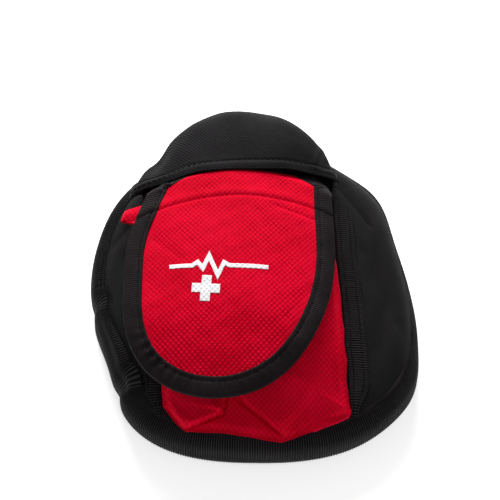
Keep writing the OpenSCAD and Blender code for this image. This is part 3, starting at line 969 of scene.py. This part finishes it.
def flap_surface(x, y):
    """The flap's face: a soft crown, its seam and the creases of the cloth."""
    z = cover_z(x, y) + FLAP_TOP
    z = z - 0.7 * np.exp(-np.abs(y - seam_y(x)) / 0.7)
    z = z + 0.4 * bell(y - seam_y(x) - 3.0, 2.6) + crease(x, y, 12, 33, 36, 23, 0.9, 0.7)
    z = z + crease(x, y, -60, 12, -40, -4, 4, 0.6) + crease(x, y, 34, -20, 16, -40, 5, 0.5)
    z = z + 0.5 * ripples(x, y, 51, 48) + 0.16 * ripples(x, y, 52, 15)
    z = z + 1.1 * bell(x + 20, 34) * bell(y + 28, 34)
    z = z - root_drop(x, y) - 2.5 * smooth((-55 - y) / 30)
    rests = front_surface(x, y) + 1.6
    z = mix(z, np.maximum(z, rests), smooth((y - 50) / 6))
    return mix(z, rests, smooth((y - 60) / 5.5))


def flap_panel():
    u, v = square_grid(240, 330)
    t = mix(-0.155, 1, np.sin(v * math.radians(87)))
    x, y = across_flap(u, t, BINDING_W - 2.2)
    hidden = 0.5 + 2.2 * smooth(-t / 0.05)
    bare = smooth(from_edge(u) * 22 - hidden) * (1 - bell(y - seam_y(x), 1.1))
    z = flap_surface(x, y) + dobby(x, y) * bare
    obj = cloth("flap_panel_soft", stack(x, y, z), stack(x, y), RED, thickness=0.9, flip=True)
    attach(obj, "flap", "red_dobby", "flap_panel", "flap_root")


def flap_lining():
    u, v = square_grid(120, 130)
    x, y = across_flap(u, np.sin(v * math.radians(87)), SEAM_IN)
    z = flap_surface(x, y) - 2.6 + 0.2 * ripples(x, y, 57, 22)
    obj = cloth("flap_lining_soft", stack(x, y, z), stack(x, y), LINING, thickness=-0.7)
    attach(obj, "flap", "lining", "flap_lining")


def flap_outline(step):
    """The flap's free edge, from the fold's left end round the tip to its right end."""
    t = mix(-0.15, 1, np.sin(np.linspace(0, math.pi / 2, 330)))
    left = np.stack(flap_edge(t, -1, 0), axis=1)
    right = np.stack(flap_edge(t, 1, 0), axis=1)
    path, at = even_line(np.vstack([left, right[::-1][1:]]), step)
    wander = 0.5 * ripples(at, 0 * at, 61, 60)
    _, inward = along_and_in(path)
    return path + inward * wander[:, None], at, inward


def flap_binding():
    """Ribbed tape folded over the flap's edge, gathered where the edge turns tightly."""
    path, at, inward = flap_outline(BINDING_RIB / 5)
    along, _ = along_and_in(path)
    turn = np.gradient(np.unwrap(np.arctan2(along[:, 1], along[:, 0])), at)
    kernel = np.ones(41) / 41
    tight = smooth((np.convolve(turn, kernel, "same") - 0.013) / 0.018)
    thick = 3.6
    knots = [(BINDING_W, 0.1), (BINDING_W - 0.5, 0.75), (BINDING_W - 3, 0.9), (BINDING_W / 2, 1.15),
             (1.8, 0.75), (0.35, -0.5), (0.2, -thick / 2 - 0.4), (0.8, -thick + 0.1), (2.5, -thick - 0.5),
             (BINDING_W / 2, -thick - 0.7), (BINDING_W - 1, -thick - 0.5), (BINDING_W - 0.3, -thick + 0.1)]
    line, wide = profile(knots, 40)
    s, w = np.meshgrid(at, wide, indexing="ij")
    inset = np.broadcast_to(line[:, 0], s.shape)
    lift = np.broadcast_to(line[:, 1], s.shape)
    ribs = 0.09 * np.sin(s * math.tau / BINDING_RIB)
    upper = smooth((lift + 1.6) / 1.2)
    gather = tight[:, None] * np.sin(s * math.tau / 6.5 + 0.8 * np.sin(s / 9)) * bell(inset - 7.5, 3.4)
    groove = bell(inset - SEAM_IN, 0.55) * upper
    lift = lift + ribs * (2 * upper - 1) + 1.05 * gather * upper - 0.42 * groove
    lift = lift + 0.35 * upper * ripples(s, w, 63, 26) * smooth(inset / 3)
    lift = np.maximum(lift, 0.3 * smooth((BINDING_W - inset) / 0.8) - 9 * (1 - upper))
    inset = inset - ribs * bell(inset - 0.2, 1.2)
    plan = path[:, None, :] + inward[:, None, :] * inset[..., None]
    z = flap_surface(plan[..., 0], plan[..., 1]) + lift
    points = stack(plan[..., 0], plan[..., 1], z)
    obj = cloth("flap_binding_soft", points, stack(s, w), BINDING, flip=True)
    attach(obj, "flap", "black_binding", "flap_binding")
    row = int(np.argmin(np.abs(line[: len(line) // 2, 0] - SEAM_IN)))
    below = len(line) // 2 + int(np.argmin(np.abs(line[len(line) // 2:, 0] - SEAM_IN)))
    sewn = [row_on(points, row), row_on(points, below)]
    stitches("flap_binding_stitches", sewn, "flap", THREAD, "black_binding", pitch=3.3)


def printed(name, x, y, node):
    """Ink laid on the flap: a grid of plan points that follows the cloth."""
    z = flap_surface(x, y) + dobby(x, y) * 0.6 + PRINT_LIFT
    obj = cloth(name, stack(x, y, z), stack(x, y), PRINT, thickness=0.12)
    attach(obj, "flap", "white_print")
    if node:
        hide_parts(node)


def flap_cross():
    """A plain white cross, leaning with the flap, as one upright bar and two arms."""
    low, high = limits("flap_cross")
    cx, cy = (low + high)[:2] / 2
    half, bar, lean = 7.9, 2.75, math.radians(-4)
    for name, a, b, c, d, node in (
        ("flap_cross_upright", -bar, bar, -half, half, "flap_cross"),
        ("flap_cross_arm_left", -half, -bar, -bar, bar, None),
        ("flap_cross_arm_right", bar, half, -bar, bar, None),
    ):
        u, v = square_grid(int((b - a) / 0.35), int((d - c) / 0.35))
        dx, dy = mix(a, b, u), mix(c, d, v)
        x = cx + dx * math.cos(lean) - dy * math.sin(lean)
        y = cy + dx * math.sin(lean) + dy * math.cos(lean)
        printed(name, x, y, node)


def flap_pulse():
    """The heartbeat line above the cross, in place of any words."""
    points = np.array([(-48, -8), (-41, -7.8), (-35, -7.8), (-32, -5.5), (-29, -9.5), (-25.5, -1.5),
                       (-20.5, -14), (-17, -6), (-14, -8), (-7, -8.2), (0, -8.5), (8, -9)])
    half = 1.3
    step = unit(np.diff(points, axis=0))
    before, after = np.vstack([step[:1], step]), np.vstack([step, step[-1:]])
    across = left_of(unit(before + after))
    mitre = half / np.maximum(0.4, (across * left_of(before)).sum(1))
    off = across * mitre[:, None]
    far = lengths_along(points)
    at = np.unique(np.concatenate([np.linspace(0, far[-1], 240), far]))
    low, high = (places(at, far, edge)[:, None, :] for edge in (points - off, points + off))
    share = np.linspace(0, 1, 9)[None, :, None]
    plan = low * (1 - share) + high * share
    printed("flap_pulse_line", plan[..., 0], plan[..., 1], "flap_pulse")


# ---- Hood ----


def hood_rear(s):
    """How far back the hood's fold runs, with the slack of its left shoulder."""
    slump = 4.5 * bell(s + 0.66, 0.25) + 3 * bell(s + 0.4, 0.3)
    slump = slump + 5 * bell(s + 0.93, 0.12) + 2 * bell(s - 0.85, 0.2) + 4.5 * bell(s + 0.82, 0.1)
    return mix(HOOD_TIP_Y, HOOD_REAR, np.sqrt(np.maximum(0, 1 - s * s))) - slump


def hood_point(s, v, t):
    """The hood at s from tip to tip and v from its front edge over to its fold, t inside its face."""
    crown = HOOD_TIP_H + (HOOD_CROWN - HOOD_TIP_H) * np.maximum(0, 1 - s**4) ** 0.8
    crown = crown - 6 * bell(s + 0.74, 0.26) - 2.5 * bell(s - 0.78, 0.2)
    crown = crown - 5 * bell(s + 0.82, 0.1) * smooth(v / 0.6)
    front = HOOD_FRONT - 1.7 - 5 * np.maximum(0, -s) ** 1.2 + 4.5 * np.maximum(0, s) ** 4
    drop = (8 - 4 * s * s + 1.5) * (1 - v) ** 2
    swing = np.maximum(0, np.cos(v * math.pi / 2))
    over = np.sin(np.minimum(v, 1) * math.pi / 2) ** 0.8
    x = HOOD_X + s * (HOOD_HALF - 0.2 * t)
    y = mix(front, hood_rear(s) - t, over)
    z = HINGE_Z + 0.3 + (crown - t - HINGE_Z - 0.3) * swing**0.35 - drop
    flare = smooth((-s - 0.72) / 0.28) * (1 - v) ** 1.5
    right = smooth((s - 0.8) / 0.2) * (1 - v) ** 1.5
    return x - 7 * flare + 2.5 * right, y - 1.5 * flare, z + 2 * flare + 2 * right


def hood_relief(s, v):
    """Slack of the hood's cloth: long soft folds, its stitched hem, and a sharp crease at its right end."""
    fold = 1.1 * ripples(s * 60, v * 50, 71, 55) + 0.3 * ripples(s * 60, v * 50, 73, 18)
    ridge = 1.6 * bell(s - 0.80 - 0.12 * v, 0.035) * smooth((0.8 - v) / 0.5)
    valley = -1.8 * bell(s - 0.90 - 0.10 * v, 0.05) * smooth((0.8 - v) / 0.5)
    return fold * smooth((1.02 - np.abs(s)) * 4) + ridge + valley


def hood_shell(nu, nv, t, v_low):
    u, v = square_grid(nu, nv)
    s = np.sin((u - 0.5) * math.pi)
    v = mix(v_low, 1.0, v**1.1)
    points = stack(*hood_point(s, v, t))
    return points, s, v


def skirt(last):
    """Rows of points from the hood's fold down into the rim's seam, which close the hood behind."""
    x, y = last[:, 0], last[:, 1]
    seam = np.minimum(y, MID_Y + outline_reach(x, 3.5))
    foot = stack(x, seam, front_surface(x, seam) + 0.6)
    w = np.linspace(0, 1, 15)[None, 1:, None]
    rows = mix(last[:, None, :], foot[:, None, :], w)
    down = w[..., 0]
    rows[..., 1] += 0.7 * np.sin(down * math.pi) + 0.4 * ripples(x[:, None], down * 12, 81, 22) * down
    return rows


def hood_panel():
    """The hood's cloth, from its stitched front edge over and down behind into the rim."""
    points, s, v = hood_shell(300, 190, 0.0, 0.0)
    out = normals_of(points)
    down = np.linalg.norm(points - points[:, :1], axis=-1)
    hem = -0.5 * np.exp(-np.abs(down - 5.2) / 0.6) + 0.45 * smooth(1 - np.abs(down - 2.6) / 2.6)
    raised = (hood_relief(s, v) * smooth(down / 12 + 0.2) + hem)[..., None]
    points = points + out * raised
    points = np.concatenate([points, skirt(points[:, -1])], axis=1)
    steps = np.linalg.norm(np.diff(points, axis=1, prepend=points[:, :1]), axis=-1)
    flat = stack(points[..., 0], np.cumsum(steps, axis=1))
    obj = cloth("hood_panel_soft", points, flat, HOOD_TWILL_PAINTED_LIGHT, thickness=1.3)
    attach(obj, "hood", "black_twill", "hood_panel", "rear_wall")
    row = int(np.argmin(np.abs(down[150] - 5.2)))
    line, normal = points[12:-12, row], normals_of(points)[12:-12, row]
    stitches("hood_hem_stitches", [(line, normal)], "hood", THREAD, "black_twill", pitch=3.4)
    hood_hem(points)


def hood_hem(panel):
    """The turned-in allowance behind the hood's front edge."""
    edge = panel[4:-4, 0]
    u = np.linspace(0, 1, panel.shape[0])[4:-4]
    inner = stack(*hood_point(np.sin((u - 0.5) * math.pi), 0.02, 2.0))
    v = np.linspace(0, 1, 19)[None, :]
    away = inner - edge
    away[:, 1] = 0
    rolled = edge[:, None, :] + away[:, None, :] * (0.5 - 0.5 * np.cos(v * math.pi))[..., None]
    rolled[..., 1] = rolled[..., 1] - 0.9 * np.sin(v * math.pi) + 7 * smooth((v - 0.45) / 0.55)
    flat = stack(rolled[..., 0], v * 9)
    obj = cloth("hood_hem_soft", rolled, flat, HOOD_TWILL_PAINTED_LIGHT, thickness=0.6, flip=True)
    attach(obj, "hood", "black_twill", "hood_hem")


def hood_lining():
    points, s, v = hood_shell(150, 90, 2.9, 0.03)
    points = points + normals_of(points) * (hood_relief(s, v) * 0.7)[..., None]
    obj = cloth("hood_lining_soft", points, stack(points[..., 0], v * 80), LINING, thickness=0.7)
    attach(obj, "hood", "lining", "hood_lining")


def hood_hook_strip():
    low, high = limits("hood_hook_strip")
    u, v = square_grid(110, 16)
    s = mix(-0.35, 0.35, u)
    points = stack(*hood_point(s, mix(0.13, 0.23, v), 4.1))
    points[..., 2] = points[..., 2] - 0.4 - 0.2 * hook_rows(points[..., 0], v * 7)
    obj = cloth("hood_hook_strip_soft", points, stack(points[..., 0], v * 7), HOOK, thickness=0.7, flip=True)
    attach(obj, "hood", "hook_and_loop", "hood_hook_strip")


# ---- The pouch ----

rim_tape()
side_gusset()
edge_piping()
patch("hood_loop_strip_soft", "hood_loop_strip", front_surface, 0.3, "carrier", False)
front_panel()
mouth_binding()
back_pad()
for loop in ("belt_loop_left", "belt_loop_right"):
    belt_loop(loop)
patch("pocket_loop_patch_soft", "pocket_loop_patch", pocket_face, 0.4, "carrier", False)
pocket_hem()
pocket_wall(pocket_front())
pocket_ear()
for turn, tape in ((-1, "pocket_tape_left"), (1, "pocket_tape_right")):
    pocket_tape(turn, tape)
flap_cross()
flap_pulse()
flap_panel()
patch("flap_hook_patch_soft", "flap_hook_patch", flap_surface, -3.2, "flap", True)
flap_lining()
flap_binding()
hood_panel()
hood_hook_strip()
hood_lining()


# ---- Floor, light and camera ----


def floor():
    side = 30.0
    mesh = bpy.data.meshes.new("floor")
    corners = [(-side, -side, 0), (side, -side, 0), (side, side, 0), (-side, side, 0)]
    mesh.from_pydata(corners, [], [(0, 1, 2, 3)])
    g = Graph("pale_floor", 0.9, specular=0.5)
    g.shader.inputs["Base Color"].default_value = (0.93, 0.93, 0.93, 1)
    g.shader.inputs["Emission Color"].default_value = (1, 1, 1, 1)
    g.shader.inputs["Emission Strength"].default_value = 0.6
    mesh.materials.append(g.material)
    show("floor", mesh)


def area_light(name, place, target, size, power):
    light = bpy.data.lights.new(name, "AREA")
    light.shape = "RECTANGLE"
    light.size, light.size_y = size
    light.energy = power
    obj = show(name, light)
    obj.location = place
    obj.rotation_euler = (Vector(target) - Vector(place)).to_track_quat("-Z", "Y").to_euler()


def studio():
    world = bpy.data.worlds.new("studio")
    bpy.context.scene.world = world
    world.use_nodes = True
    background = world.node_tree.nodes["Background"]
    background.inputs["Color"].default_value = (1, 1, 1, 1)
    background.inputs["Strength"].default_value = 0.30
    area_light("key", (-0.10, 0.85, 0.50), (0, 0, 0.03), (0.6, 0.4), 15)
    area_light("fill", (0.30, -0.60, 0.90), (0, 0, 0.03), (0.6, 0.4), 1.2)
    bpy.context.scene.view_settings.view_transform = "Standard"


def camera():
    """Looks along +Y and down, as the photographer did."""
    elevation, distance = math.radians(60), 0.6
    back = Vector((0, -math.cos(elevation), math.sin(elevation)))
    up = Vector((0, math.sin(elevation), math.cos(elevation)))
    data = bpy.data.cameras.new("camera")
    data.lens = 72.3
    obj = show("camera", data)
    obj.location = Vector((-0.0024, 0, 0.025)) + up * 0.0193 + back * distance
    obj.rotation_euler = (-back).to_track_quat("-Z", "Y").to_euler()
    bpy.context.scene.camera = obj


floor()
studio()
camera()

bpy.context.view_layer.update()
